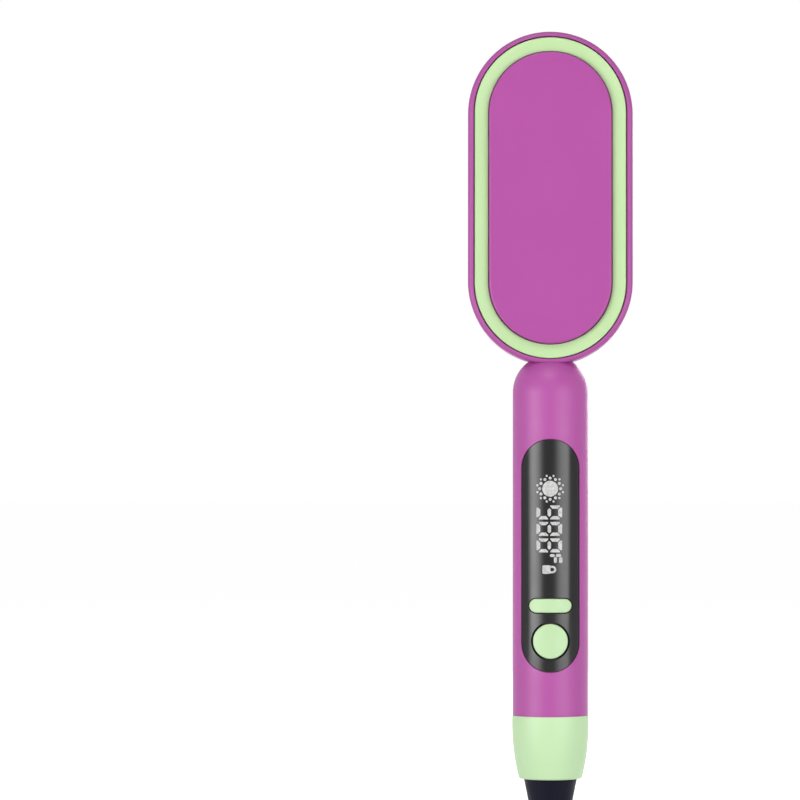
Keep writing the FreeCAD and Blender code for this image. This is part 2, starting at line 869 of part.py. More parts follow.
def heat_guard_frame():
    frame = round_edges(head_slab(guard_radius, rebate_floor, guard_face), guard_rounding, guard_face)
    frame = frame.fuse(head_slab(guard_spigot_radius, guard_front, rebate_floor))
    frame = frame.cut(head_slab(lip_radius, guard_front, guard_face))
    frame = frame.cut(head_slab(guard_bore, guard_front, lip_front))
    for x, z in head_posts():
        frame = frame.fuse(rod(post_radius, x, z, -floor_back, guard_front))
        pilot_end = -floor_back + head_screw_bite + seat_gap
        frame = frame.cut(rod(head_screw_radius + seat_gap, x, z, -floor_back, pilot_end))
    return frame


def comb_plate():
    plate = round_edges(head_slab(plate_field_radius, plate_back, plate_face), plate_rounding, plate_face)
    plate = plate.fuse(head_slab(plate_flange_radius, plate_back, lip_front))
    for x, z in head_posts():
        plate = plate.cut(rod(post_radius + running_gap, x, z, plate_back, lip_front))
    for z in clamp_bosses():
        plate = plate.fuse(rod(clamp_boss_radius, 0, z, mica_front, plate_back))
        pilot_end = mica_front + clamp_screw_bite + seat_gap
        plate = plate.cut(rod(clamp_screw_radius + seat_gap, 0, z, mica_front, pilot_end))
    return plate


def heated_teeth():
    tooth = faceted([(tooth_base_radius, plate_face), (tooth_end_radius, tip_seat)], tooth_sides)
    return copies(tooth, tooth_places())


def tooth_tips():
    rings = [
        (tooth_end_radius, tip_seat),
        (tip_radius, tip_seat + tip_length / 2),
        (tip_crown_radius, tip_seat + tip_length),
    ]
    return copies(faceted(rings, tooth_sides), tooth_places())


def ceramic_heaters():
    pair = (-heater_spacing / 2, heater_spacing / 2)
    length = 2 * heater_half_length
    return Part.makeCompound([block(heater_width, heater_front, plate_back, length, head_z, x) for x in pair])


def clamp_sheet(front, back):
    """A sheet over the heaters, cut straight at its lower end to let the leads out."""
    lead_room = box(-head_radius, head_radius, front, back, head_bottom_z, head_z - heater_half_length)
    return head_slab(clamp_radius, front, back).cut(lead_room)


def mica_insulator():
    sheet = clamp_sheet(mica_front, heater_front)
    for z in clamp_bosses():
        sheet = sheet.cut(rod(clamp_boss_radius + joint_gap, 0, z, mica_front, heater_front))
    return sheet


def heater_clamp():
    sheet = clamp_sheet(clamp_front, mica_front)
    for z in clamp_bosses():
        sheet = sheet.cut(rod(clamp_screw_radius + joint_gap, 0, z, clamp_front, mica_front))
    return sheet


def clamp_screws():
    shank = rod(clamp_screw_radius, 0, 0, clamp_front, mica_front + clamp_screw_bite)
    head = rod(clamp_screw_head_radius, 0, 0, clamp_front - clamp_screw_head, clamp_front)
    return copies(shank.fuse(head), [(0, z) for z in clamp_bosses()])


def temperature_sensor():
    return block(sensor_width, clamp_front - sensor_height, clamp_front, sensor_length, head_z, sensor_offset)


def thermal_fuse():
    """A round fuse lying along Z in a clip that stands on the clamp."""
    y = clamp_front - fuse_radius - fuse_clip
    low = Vector(-fuse_offset, y, head_z - fuse_length / 2)
    body = Part.makeCylinder(fuse_radius, fuse_length, low)
    return body.fuse(block(2 * fuse_radius, y, clamp_front, fuse_clip_length, head_z, -fuse_offset))


nodes = {
    "handle_front_shell": handle_front_shell,
    "handle_rear_shell": handle_rear_shell,
    "side_trim_left": lambda: side_strip(-1),
    "side_trim_right": lambda: side_strip(1),
    "neck_screw": neck_screw,
    "tail_collar": tail_collar,
    "swivel_bush": swivel_bush,
    "swivel_spindle": swivel_spindle,
    "swivel_retainer": swivel_retainer,
    "slip_rings": slip_rings,
    "contact_block": contact_block,
    "contact_brushes": contact_brushes,
    "cord_boot": cord_boot,
    "display_lens": display_lens,
    "power_button": power_button,
    "mode_button": mode_button,
    "power_switch": lambda: tact_switch(power_z),
    "mode_switch": lambda: tact_switch(mode_z),
    "power_switch_plunger": lambda: switch_plunger(power_z),
    "mode_switch_plunger": lambda: switch_plunger(mode_z),
    "control_board": control_board,
    "board_screws": board_screws,
    "board_components": board_components,
    "display_module": display_module,
    "supply_leads": supply_leads,
    "heater_leads": heater_leads,
    "head_front_shell": head_front_shell,
    "head_rear_shell": head_rear_shell,
    "head_trim_ring": head_trim_ring,
    "head_cover_panel": head_cover_panel,
    "head_screws": head_screws,
    "heat_guard_frame": heat_guard_frame,
    "comb_plate": comb_plate,
    "heated_teeth": heated_teeth,
    "tooth_tips": tooth_tips,
    "ceramic_heaters": ceramic_heaters,
    "mica_insulator": mica_insulator,
    "heater_clamp": heater_clamp,
    "clamp_screws": clamp_screws,
    "temperature_sensor": temperature_sensor,
    "thermal_fuse": thermal_fuse,
}

os.makedirs("parts", exist_ok=True)
for name, make in nodes.items():
    shape = make()
    shape.exportStep(f"parts/{name}.step")
    print(f"{name}: {len(shape.Solids)} solids, {shape.Volume:.1f} cubic mm, valid {shape.isValid()}")
print(f"{len(nodes)} nodes, {len(tooth_places())} teeth")
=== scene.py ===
# %% [markdown]
# A heated straightening brush, dressed for its picture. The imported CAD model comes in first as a
# frame that stays where it is: its casing, collar and buttons already have their shape, so they only
# get finishes. What CAD leaves plain, such as the pins, the lit readout and the screw, is modelled
# here. Every length is in metres, and MM turns millimetres into them.

# %% Load the frame
import json
import math

import bmesh
import bpy
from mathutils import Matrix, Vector


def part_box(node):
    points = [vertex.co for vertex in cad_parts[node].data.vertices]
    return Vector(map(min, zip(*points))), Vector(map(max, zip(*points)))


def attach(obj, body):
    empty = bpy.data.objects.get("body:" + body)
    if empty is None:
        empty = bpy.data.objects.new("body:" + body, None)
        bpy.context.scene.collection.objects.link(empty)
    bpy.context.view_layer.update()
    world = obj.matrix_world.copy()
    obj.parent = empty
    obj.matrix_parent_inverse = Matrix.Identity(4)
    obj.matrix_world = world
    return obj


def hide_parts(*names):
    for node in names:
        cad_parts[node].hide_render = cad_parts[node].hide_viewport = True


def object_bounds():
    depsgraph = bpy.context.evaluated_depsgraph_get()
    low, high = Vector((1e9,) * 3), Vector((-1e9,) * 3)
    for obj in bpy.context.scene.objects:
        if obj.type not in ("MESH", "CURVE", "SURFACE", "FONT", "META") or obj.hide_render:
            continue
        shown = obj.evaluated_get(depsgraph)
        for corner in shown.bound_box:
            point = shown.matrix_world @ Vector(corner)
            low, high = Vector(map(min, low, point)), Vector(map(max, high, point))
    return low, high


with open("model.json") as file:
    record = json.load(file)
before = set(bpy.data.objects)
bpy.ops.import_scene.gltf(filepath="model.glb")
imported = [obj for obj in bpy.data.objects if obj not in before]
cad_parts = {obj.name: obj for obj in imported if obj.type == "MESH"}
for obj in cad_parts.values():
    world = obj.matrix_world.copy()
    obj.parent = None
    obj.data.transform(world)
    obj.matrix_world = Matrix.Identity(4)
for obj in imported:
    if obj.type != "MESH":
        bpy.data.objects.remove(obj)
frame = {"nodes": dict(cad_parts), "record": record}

MM = 0.001
nodes = frame["nodes"]
cad_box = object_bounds()
print("nodes", len(nodes), "box", [[round(value, 4) for value in corner] for corner in cad_box])

# %% [markdown]
# The camera stands straight in front of the display, a metre and a half away behind a long lens, which
# keeps the head and the grip at nearly one scale. Most of the brush is above it, so it looks up by
# little more than a degree. The brush is right of the picture's middle: the lens is shifted sideways
# for that, because turning the camera would show the grip's side.

# %% Camera
scene = bpy.context.scene
CAMERA_DISTANCE = 1.5
CAMERA_HEIGHT = 27.4 * MM
LOOK_UP = math.radians(1.29)
FOCAL_LENGTH = 169.3
SIDE_SHIFT = -0.188

bpy.ops.object.select_all(action="DESELECT")
bpy.ops.object.camera_add(location=(0, -CAMERA_DISTANCE, CAMERA_HEIGHT),
                          rotation=(math.pi / 2 + LOOK_UP, 0, 0))
camera = bpy.context.object
camera.name = "front_camera"
camera.data.lens = FOCAL_LENGTH
camera.data.shift_x = SIDE_SHIFT
scene.camera = camera
scene.view_settings.view_transform = "Standard"
print("camera at", [round(value, 3) for value in camera.location])

# %% [markdown]
# The studio is a white room. The world is white where it is seen directly, in a reflection or through
# something clear. As a lamp it is weaker, so that the whole of the light stays at a level where a
# colour renders about as it is written. The Light Path node tells those two kinds of ray apart.

# %% World
AMBIENT = 0.3

world = bpy.data.worlds.new("white_room")
scene.world = world
world.use_nodes = True
tree = world.node_tree
sky = tree.nodes["Background"]
sky.inputs["Color"].default_value = (1, 1, 1, 1)


def seen_rays(tree):
    """One where a camera, glossy or transmission ray arrives, and zero for the rays that only light."""
    rays = tree.nodes.new("ShaderNodeLightPath")
    either = tree.nodes.new("ShaderNodeMath")
    either.operation = "MAXIMUM"
    tree.links.new(rays.outputs["Is Camera Ray"], either.inputs[0])
    tree.links.new(rays.outputs["Is Glossy Ray"], either.inputs[1])
    any_of = tree.nodes.new("ShaderNodeMath")
    any_of.operation = "MAXIMUM"
    tree.links.new(either.outputs[0], any_of.inputs[0])
    tree.links.new(rays.outputs["Is Transmission Ray"], any_of.inputs[1])
    return any_of.outputs[0]


strength = tree.nodes.new("ShaderNodeMapRange")
strength.inputs["To Min"].default_value = AMBIENT
strength.inputs["To Max"].default_value = 1.0
tree.links.new(seen_rays(tree), strength.inputs["Value"])
tree.links.new(strength.outputs["Result"], sky.inputs["Strength"])
print("world lights with", AMBIENT)

# %% [markdown]
# The floor is a sheet of white paper under the tail. A real studio lights its paper until it is pure
# white in the picture. Here an Emission shader is added to the paper's own shader, for seen rays
# only: the paper reads as white, throws no more light on the brush, and still keeps its shadow.

# %% Floor
FLOOR_SIZE = 60.0
PAPER_GLOW = 0.75

bpy.ops.object.select_all(action="DESELECT")
bpy.ops.mesh.primitive_plane_add(size=FLOOR_SIZE, location=(0, 0, cad_box[0][2]))
floor = bpy.context.object
floor.name = "studio_floor"
paper = bpy.data.materials.new("white_paper")
paper.use_nodes = True
tree = paper.node_tree
sheet = tree.nodes["Principled BSDF"]
sheet.inputs["Base Color"].default_value = (0.8, 0.8, 0.8, 1)
sheet.inputs["Roughness"].default_value = 0.9
sheet.inputs["Specular IOR Level"].default_value = 0.0
glow = tree.nodes.new("ShaderNodeEmission")
level = tree.nodes.new("ShaderNodeMath")
level.operation = "MULTIPLY"
level.inputs[1].default_value = PAPER_GLOW
tree.links.new(seen_rays(tree), level.inputs[0])
tree.links.new(level.outputs[0], glow.inputs["Strength"])
both = tree.nodes.new("ShaderNodeAddShader")
tree.links.new(sheet.outputs["BSDF"], both.inputs[0])
tree.links.new(glow.outputs["Emission"], both.inputs[1])
tree.links.new(both.outputs["Shader"], tree.nodes["Material Output"].inputs["Surface"])
floor.data.materials.append(paper)
print("floor at", round(floor.location.z, 4))

# %% [markdown]
# Soft boxes stand to the left and the right of the camera, at the height of the grip. A round grip
# shows each one as an upright band of light, and the gloss lens shows it sharper than satin plastic
# does. Each box is brightest near its outer end. It fades slowly towards the camera and quickly
# outwards, so its band has one soft edge and one that is nearly crisp. A third box hangs above and in
# front and lights the dome and the hollow of the trim ring, and one behind serves the views of the
# pins. Two weak fills open the grip's shaded sides, and are hidden from glossy rays so that the lens
# shows no more bands. A rotation that tracks from the lamp to its target saves working out the angles.

# %% Soft boxes
def soft_box(name, place, target, width, height, power):
    """A rectangular lamp at place that faces target."""
    bpy.ops.object.select_all(action="DESELECT")
    bpy.ops.object.light_add(type="AREA", location=place)
    lamp = bpy.context.object
    lamp.name = name
    lamp.data.shape = "RECTANGLE"
    lamp.data.size = width
    lamp.data.size_y = height
    lamp.data.energy = power
    facing = Vector(target) - Vector(place)
    lamp.rotation_euler = facing.to_track_quat("-Z", "Y").to_euler()
    return lamp


def fade(lamp, inner, outer):
    """Dim both ends of a lamp. Each stretch runs from dark to full light, in shares of its width."""
    lamp.data.use_nodes = True
    tree = lamp.data.node_tree
    across = tree.nodes.new("ShaderNodeSeparateXYZ")
    surface = tree.nodes.new("ShaderNodeNewGeometry")
    tree.links.new(surface.outputs["Parametric"], across.inputs["Vector"])
    level = tree.nodes.new("ShaderNodeMath")
    level.operation = "MULTIPLY"
    for socket, (dark, full) in zip(level.inputs, (inner, outer)):
        rise = tree.nodes.new("ShaderNodeMapRange")
        rise.interpolation_type = "SMOOTHSTEP"
        rise.inputs["From Min"].default_value = dark
        rise.inputs["From Max"].default_value = full
        tree.links.new(across.outputs["X"], rise.inputs["Value"])
        tree.links.new(rise.outputs["Result"], socket)
    tree.links.new(level.outputs[0], tree.nodes["Emission"].inputs["Strength"])


GRIP_MIDDLE = (0, 0, 0)
NECK = (0, 0, 80 * MM)
BAND_WIDTH = 1.23
BAND_HEIGHT = 0.3
FILL_OUT = 1.05
FILL_FORWARD = 0.55
LEFT_FILL = 1.2
RIGHT_FILL = 2.6

left_box = soft_box("left_box", (-0.841, -0.86, 0), GRIP_MIDDLE, BAND_WIDTH, BAND_HEIGHT, power=12.4)
right_box = soft_box("right_box", (0.694, -0.979, 0), GRIP_MIDDLE, BAND_WIDTH, BAND_HEIGHT, power=8.5)
fade(left_box, inner=(1.0, 0.42), outer=(0.0, 0.29))
fade(right_box, inner=(0.0, 0.53), outer=(1.0, 0.8))
top_box = soft_box("top_box", (-0.12, -0.75, 1.15), NECK, width=0.4, height=0.4, power=4.0)
back_box = soft_box("back_box", (0.35, 1.3, 0.45), NECK, width=0.8, height=0.8, power=10.0)
for side, power in ((-1, LEFT_FILL), (1, RIGHT_FILL)):
    beside = (side * FILL_OUT, -FILL_FORWARD, 0)
    side_fill = soft_box("side_fill", beside, GRIP_MIDDLE, width=0.6, height=0.2, power=power)
    side_fill.visible_glossy = False
print("soft boxes", left_box.name, right_box.name, top_box.name, back_box.name)

# %% [markdown]
# A finish is a shader with nodes that vary it. Moulded plastic is never one flat value: its colour
# drifts a little over centimetres, its gloss over millimetres, and its skin has a fine grain. All
# of them read Object coordinates, which are metres here, so one scale suits every piece. A noise
# pattern seldom leaves the middle of its range, so that middle is stretched to the full span.

# %% Helpers for finishes
PATTERN_LOW = 0.3
PATTERN_HIGH = 0.7


def start_finish(name):
    """A new material, its node tree, its shader and the coordinates of the piece."""
    material = bpy.data.materials.new(name)
    material.use_nodes = True
    tree = material.node_tree
    place = tree.nodes.new("ShaderNodeTexCoord").outputs["Object"]
    return material, tree, tree.nodes["Principled BSDF"], place


def mottle(tree, place, size, detail=2.0, stretch=(1, 1, 1)):
    """Soft patches of about that size in metres, from zero to one."""
    turn = tree.nodes.new("ShaderNodeMapping")
    turn.inputs["Scale"].default_value = stretch
    tree.links.new(place, turn.inputs["Vector"])
    noise = tree.nodes.new("ShaderNodeTexNoise")
    noise.inputs["Scale"].default_value = 1 / size
    noise.inputs["Detail"].default_value = detail
    tree.links.new(turn.outputs["Vector"], noise.inputs["Vector"])
    return noise.outputs["Fac"]


def tint(tree, factor, first, second, socket):
    """Blend two colours by a pattern."""
    ramp = tree.nodes.new("ShaderNodeValToRGB")
    ramp.color_ramp.elements[0].position = PATTERN_LOW
    ramp.color_ramp.elements[0].color = (*first, 1)
    ramp.color_ramp.elements[1].position = PATTERN_HIGH
    ramp.color_ramp.elements[1].color = (*second, 1)
    tree.links.new(factor, ramp.inputs["Fac"])
    tree.links.new(ramp.outputs["Color"], socket)


def spread(tree, factor, low, high, socket):
    """Let a value run from low to high with a pattern."""
    limits = tree.nodes.new("ShaderNodeMapRange")
    limits.inputs["From Min"].default_value = PATTERN_LOW
    limits.inputs["From Max"].default_value = PATTERN_HIGH
    limits.inputs["To Min"].default_value = low
    limits.inputs["To Max"].default_value = high
    tree.links.new(factor, limits.inputs["Value"])
    tree.links.new(limits.outputs["Result"], socket)


def relief(tree, shader, height, depth):
    """Raise the surface by a pattern, to that depth in metres."""
    bump = tree.nodes.new("ShaderNodeBump")
    bump.inputs["Strength"].default_value = 1.0
    bump.inputs["Distance"].default_value = depth
    tree.links.new(height, bump.inputs["Height"])
    tree.links.new(bump.outputs["Normal"], shader.inputs["Normal"])


print("helpers ready")

# %% [markdown]
# The casing is moulded in purple and the trim in pale green, both with a satin skin. One function
# makes every moulded plastic of the brush: two near colours, a low and a high roughness and a fine
# grain. The casing's purple has a little more green than the panel's, as painted sheen. The ring
# round the panel is a darker, yellower copy of the trim's green, as painted shade in its groove, and
# the head's shells have a darker copy of the casing's purple, as painted shade, with a duller gloss.

# %% Casing and trim
COLOUR_PATCH = 30 * MM
GLOSS_PATCH = 5 * MM


def moulded(name, dark, light, gloss, grain, depth, reflect=0.5):
    """Moulded plastic: two near colours, a low and a high roughness, and a fine grain."""
    material, tree, shader, place = start_finish(name)
    tint(tree, mottle(tree, place, COLOUR_PATCH), dark, light, shader.inputs["Base Color"])
    gloss_drift = mottle(tree, place, GLOSS_PATCH, detail=3.0)
    spread(tree, gloss_drift, gloss[0], gloss[1], shader.inputs["Roughness"])
    relief(tree, shader, mottle(tree, place, grain, detail=1.0), depth)
    shader.inputs["Specular IOR Level"].default_value = reflect
    return material


SATIN = (0.42, 0.46)
SKIN = 0.35 * MM
SKIN_DEPTH = 0.004 * MM
TRIM_DEPTH = 0.003 * MM
# The casing's colour has a little more green than the panel's: painted sheen.
purple_casing = moulded("purple_casing", (0.394, 0.069, 0.314), (0.407, 0.073, 0.326),
                        SATIN, SKIN, SKIN_DEPTH, reflect=0.46)
# A darker copy of the casing's purple: painted shade on the head's shells.
shaded_head_purple = moulded("shaded_head_purple", (0.364, 0.069, 0.292), (0.377, 0.073, 0.303),
                      SATIN, SKIN, SKIN_DEPTH, reflect=0.36)
panel_purple = moulded("panel_purple", (0.363, 0.052, 0.289), (0.376, 0.056, 0.3), SATIN, SKIN, SKIN_DEPTH)
green_trim = moulded("green_trim", (0.5, 0.711, 0.408), (0.52, 0.731, 0.428), SATIN, SKIN, TRIM_DEPTH)
# A darker, yellower copy of the trim's green: painted shade in the ring's groove.
shaded_ring_green = moulded("shaded_ring_green", (0.464, 0.675, 0.335), (0.484, 0.695, 0.355), SATIN, SKIN, TRIM_DEPTH)
for finish in (purple_casing, shaded_head_purple, panel_purple, green_trim, shaded_ring_green):
    print("casing and trim", finish.name)

# %% [markdown]
# Each button's foot and lugs sit deeper in the lens than its cap, and are painted black as painted
# shade, so that the gap round the button looks dark and empty. The distance from the grip's axis tells
# this painted shade from the green cap.

# %% Buttons
# Painted shade: the black that fills the gap round each button.
GAP_SHADE_BLACK = (0.003, 0.003, 0.003, 1)
GAP_SHADE_LIMIT = 14.2 * MM


def paint_gap_shade(material, level):
    """Paint everything nearer to the grip's axis than level black, as painted shade in the button's gap.
    """
    tree = material.node_tree
    shader = tree.nodes["Principled BSDF"]
    cap_colour = shader.inputs["Base Color"].links[0].from_socket
    flat = tree.nodes.new("ShaderNodeVectorMath")
    flat.operation = "MULTIPLY"
    flat.inputs[1].default_value = (1, 1, 0)
    place = tree.nodes.new("ShaderNodeTexCoord").outputs["Object"]
    tree.links.new(place, flat.inputs[0])
    reach = tree.nodes.new("ShaderNodeVectorMath")
    reach.operation = "LENGTH"
    tree.links.new(flat.outputs["Vector"], reach.inputs[0])
    outside = tree.nodes.new("ShaderNodeMath")
    outside.operation = "GREATER_THAN"
    outside.inputs[1].default_value = level
    tree.links.new(reach.outputs["Value"], outside.inputs[0])
    cap_or_gap_shade = tree.nodes.new("ShaderNodeMix")
    cap_or_gap_shade.data_type = "RGBA"
    cap_or_gap_shade.inputs["A"].default_value = GAP_SHADE_BLACK
    tree.links.new(outside.outputs[0], cap_or_gap_shade.inputs["Factor"])
    tree.links.new(cap_colour, cap_or_gap_shade.inputs["B"])
    tree.links.new(cap_or_gap_shade.outputs["Result"], shader.inputs["Base Color"])


button_green = moulded("button_green", (0.472, 0.667, 0.375), (0.49, 0.687, 0.395),
                       SATIN, SKIN, TRIM_DEPTH)
paint_gap_shade(button_green, GAP_SHADE_LIMIT)
print("buttons", button_green.name)

# %% [markdown]
# The display lens is black acrylic, polished, so it mirrors the soft boxes as bright bands between
# dark ones. Its gloss drifts in long smears, as if wiped along the grip, which keeps the bands from
# looking drawn with a ruler.

# %% Display lens
SMEAR_SIZE = 9 * MM
SMEAR_STRETCH = (1, 1, 0.4)
CLOUD_SIZE = 20 * MM
ACRYLIC_IOR = 1.4


def polished_lens():
    """Black acrylic, polished, with faint smears that only its gloss shows."""
    material, tree, shader, place = start_finish("display_black")
    smears = mottle(tree, place, SMEAR_SIZE, detail=4.0, stretch=SMEAR_STRETCH)
    clouds = mottle(tree, place, CLOUD_SIZE)
    tint(tree, clouds, (0.0015, 0.0015, 0.0018), (0.0035, 0.0035, 0.004), shader.inputs["Base Color"])
    spread(tree, smears, 0.19, 0.25, shader.inputs["Roughness"])
    shader.inputs["IOR"].default_value = ACRYLIC_IOR
    return material


display_black = polished_lens()
print("lens finish", display_black.name)

# %% [markdown]
# The other plastics are the same recipe with other numbers: heat-proof black round the plate, nylon
# tips, soft rubber on the boot, natural nylon in the swivel and the dark casings on the board.

# %% Other plastics and rubber
DULL = (0.42, 0.54)
POLISHED = (0.26, 0.36)
COARSE_SKIN = 0.4 * MM
COARSE_DEPTH = 0.006 * MM
guard_black = moulded("guard_black", (0.016, 0.016, 0.017), (0.021, 0.02, 0.021),
                      DULL, COARSE_SKIN, COARSE_DEPTH)
tip_nylon = moulded("tip_nylon", (0.013, 0.013, 0.014), (0.018, 0.018, 0.018),
                    POLISHED, SKIN, depth=0.002 * MM)
boot_rubber = moulded("boot_rubber", (0.0025, 0.0023, 0.01), (0.004, 0.0036, 0.014),
                      DULL, grain=0.25 * MM, depth=0.005 * MM, reflect=0.12)
white_nylon = moulded("white_nylon", (0.76, 0.75, 0.7), (0.82, 0.81, 0.77), SATIN, COARSE_SKIN, SKIN_DEPTH)
component_black = moulded("component_black", (0.024, 0.024, 0.026), (0.034, 0.034, 0.034),
                          DULL, grain=0.2 * MM, depth=COARSE_DEPTH)
display_grey = moulded("display_grey", (0.085, 0.085, 0.09), (0.11, 0.11, 0.115), SATIN, SKIN, SKIN_DEPTH)
lead_sleeve = moulded("lead_sleeve", (0.46, 0.033, 0.026), (0.53, 0.045, 0.034), DULL, SKIN, COARSE_DEPTH)
for finish in (guard_black, tip_nylon, boot_rubber, white_nylon, component_black, display_grey,
               lead_sleeve):
    print("plastic", finish.name)

# %% [markdown]
# Screws, springs and slip rings are bare metal. Rolling or turning leaves fine lines in one
# direction, so the noise is stretched that way and drives colour, gloss and relief together.

# %% Bare metals
LINE_SIZE = 0.6 * MM
LINE_DEPTH = 0.004 * MM


def bare_metal(name, dull, bright, gloss, stretch):
    """Sheet or turned metal, with fine lines along one direction."""
    material, tree, shader, place = start_finish(name)
    lines = mottle(tree, place, LINE_SIZE, detail=4.0, stretch=stretch)
    tint(tree, lines, dull, bright, shader.inputs["Base Color"])
    spread(tree, lines, gloss[0], gloss[1], shader.inputs["Roughness"])
    relief(tree, shader, lines, LINE_DEPTH)
    shader.inputs["Metallic"].default_value = 1.0
    return material


spring_steel = bare_metal("spring_steel", (0.48, 0.48, 0.48), (0.6, 0.6, 0.6), (0.3, 0.45), (1, 1, 0.08))
screw_steel = bare_metal("screw_steel", (0.5, 0.5, 0.49), (0.62, 0.62, 0.61), (0.25, 0.4), (1, 0.1, 1))
contact_brass = bare_metal("contact_brass", (0.7, 0.5, 0.2), (0.84, 0.64, 0.3), (0.2, 0.35), (1, 1, 0.1))
print("metals", spring_steel.name, screw_steel.name, contact_brass.name)

# %% [markdown]
# The comb plate has a sprayed ceramic coat, which is hard and a little speckled. A Voronoi pattern
# gives the specks, and serves the circuit board, the white heaters and the mica sheet as well.

# %% Coated plate, board, ceramic and mica
COAT_PATCH = 6 * MM


def speckled(name, ground, fleck, size, gloss, depth):
    """A hard surface with small flecks in it."""
    material, tree, shader, place = start_finish(name)
    flecks = tree.nodes.new("ShaderNodeTexVoronoi")
    flecks.inputs["Scale"].default_value = 1 / size
    tree.links.new(place, flecks.inputs["Vector"])
    tint(tree, flecks.outputs["Distance"], ground, fleck, shader.inputs["Base Color"])
    gloss_drift = mottle(tree, place, COAT_PATCH, detail=3.0)
    spread(tree, gloss_drift, gloss[0], gloss[1], shader.inputs["Roughness"])
    relief(tree, shader, flecks.outputs["Distance"], depth)
    return material


plate_coating = speckled("plate_coating", (0.014, 0.014, 0.015), (0.024, 0.024, 0.025),
                         size=0.5 * MM, gloss=SATIN, depth=0.004 * MM)
board_laminate = speckled("board_laminate", (0.016, 0.13, 0.055), (0.028, 0.19, 0.085),
                          size=0.8 * MM, gloss=SATIN, depth=0.003 * MM)
heater_ceramic = speckled("heater_ceramic", (0.78, 0.76, 0.7), (0.86, 0.84, 0.79),
                          size=0.4 * MM, gloss=DULL, depth=0.004 * MM)
mica_sheet = speckled("mica_sheet", (0.42, 0.32, 0.18), (0.58, 0.48, 0.32),
                      size=3 * MM, gloss=SATIN, depth=0.01 * MM)
print("hard finishes", plate_coating.name, board_laminate.name, heater_ceramic.name, mica_sheet.name)

# %% [markdown]
# The record names a material slot for every node of the frame, so a table from slot to finish dresses
# them all in one loop. A second table holds the nodes whose colour differs from that of their slot: the
# panel's purple lacks the casing's painted sheen, the head's shells and the trim ring have darker copies
# as painted shade, and the buttons carry painted shade in their gaps. A node keeps its mesh, and only
# the material in its slot changes.

# %% Put the finishes on the CAD nodes
finishes = {
    "purple_casing": purple_casing, "green_trim": green_trim, "display_black": display_black,
    "guard_black": guard_black, "plate_coating": plate_coating, "tip_nylon": tip_nylon,
    "boot_rubber": boot_rubber, "white_nylon": white_nylon, "spring_steel": spring_steel,
    "contact_brass": contact_brass, "screw_steel": screw_steel, "board_laminate": board_laminate,
    "component_black": component_black, "display_grey": display_grey, "lead_sleeve": lead_sleeve,
    "heater_ceramic": heater_ceramic, "mica_sheet": mica_sheet,
}
for row in frame["record"]["subparts"]:
    nodes[row["node"]].material_slots[0].material = finishes[row["material_slot"]]

other_shades = {
    "head_cover_panel": panel_purple, "head_front_shell": shaded_head_purple, "head_rear_shell": shaded_head_purple,
    "head_trim_ring": shaded_ring_green, "power_button": button_green, "mode_button": button_green,
}
for node, finish in other_shades.items():
    nodes[node].material_slots[0].material = finish

# %% [markdown]
# Modelling by script needs three habits. Everything is deselected before a primitive is added, points
# are picked by a test on their place, as a modeller would box-select them, and a finished mesh has its
# normals turned outwards before it is left.

# %% Helpers for modelling
def start_piece(add, **size):
    """Add one primitive with nothing else selected, and put its place into its mesh."""
    bpy.ops.object.select_all(action="DESELECT")
    add(**size)
    bpy.ops.object.transform_apply(location=True, rotation=True, scale=True)
    return bpy.context.object


def pick(piece, test):
    """In edit mode, select only the points whose place passes the test."""
    bpy.ops.mesh.select_mode(type="VERT")
    bpy.ops.mesh.select_all(action="DESELECT")
    points = bmesh.from_edit_mesh(piece.data)
    for point in points.verts:
        point.select_set(test(point.co))
    points.select_flush(True)
    bmesh.update_edit_mesh(piece.data)


def draw_out(length, widen):
    """Extrude the selected ring along Y, as the pins point, then widen or narrow it."""
    bpy.ops.mesh.extrude_region_move(TRANSFORM_OT_translate={"value": (0, length, 0)})
    bpy.ops.transform.resize(value=(widen, 1, widen))


def leave_mesh():
    """Turn all faces outwards and go back to object mode."""
    bpy.ops.mesh.select_all(action="SELECT")
    bpy.ops.mesh.normals_make_consistent(inside=False)
    bpy.ops.object.mode_set(mode="OBJECT")


def smooth(piece, angle=40):
    """Shade round surfaces smooth and keep edges sharper than the angle."""
    bpy.ops.object.select_all(action="DESELECT")
    piece.select_set(True)
    bpy.context.view_layer.objects.active = piece
    bpy.ops.object.shade_smooth_by_angle(angle=math.radians(angle))


def copy_to(piece, places):
    """Copies of a piece at each (x, z) place, joined into one mesh. The piece itself goes."""
    copies = []
    for x, z in places:
        bpy.ops.object.select_all(action="DESELECT")
        piece.select_set(True)
        bpy.context.view_layer.objects.active = piece
        bpy.ops.object.duplicate(linked=False)
        bpy.ops.transform.translate(value=(x, 0, z))
        bpy.ops.object.transform_apply(location=True)
        copies.append(bpy.context.object)
    bpy.ops.object.select_all(action="DESELECT")
    for one in copies:
        one.select_set(True)
    bpy.context.view_layer.objects.active = copies[0]
    bpy.ops.object.join()
    bpy.data.objects.remove(piece)
    return bpy.context.object


print("modelling helpers ready")

# %% [markdown]
# The heated pins stand in staggered rows on the plate. CAD has them as plain eight-sided pegs, which
# are right in place and length but hard-edged. Each peg's place is read from the ring of points at
# its end, so the round pins land exactly where the pegs were.

# %% Where the pins stand
PIN_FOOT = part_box("heated_teeth")[0][1]
PIN_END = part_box("heated_teeth")[1][1]
SLACK = 0.1 * MM
PEG_SPAN = 1.5 * MM

rings = []
for point in nodes["heated_teeth"].data.vertices:
    if point.co.y < PIN_END - SLACK:
        continue
    for ring in rings:
        if abs(ring[0].x - point.co.x) < PEG_SPAN and abs(ring[0].z - point.co.z) < PEG_SPAN:
            ring.append(point.co)
            break
    else:
        rings.append([point.co])


def half_way(values):
    """Half-way between the lowest and the highest value."""
    return (min(values) + max(values)) / 2


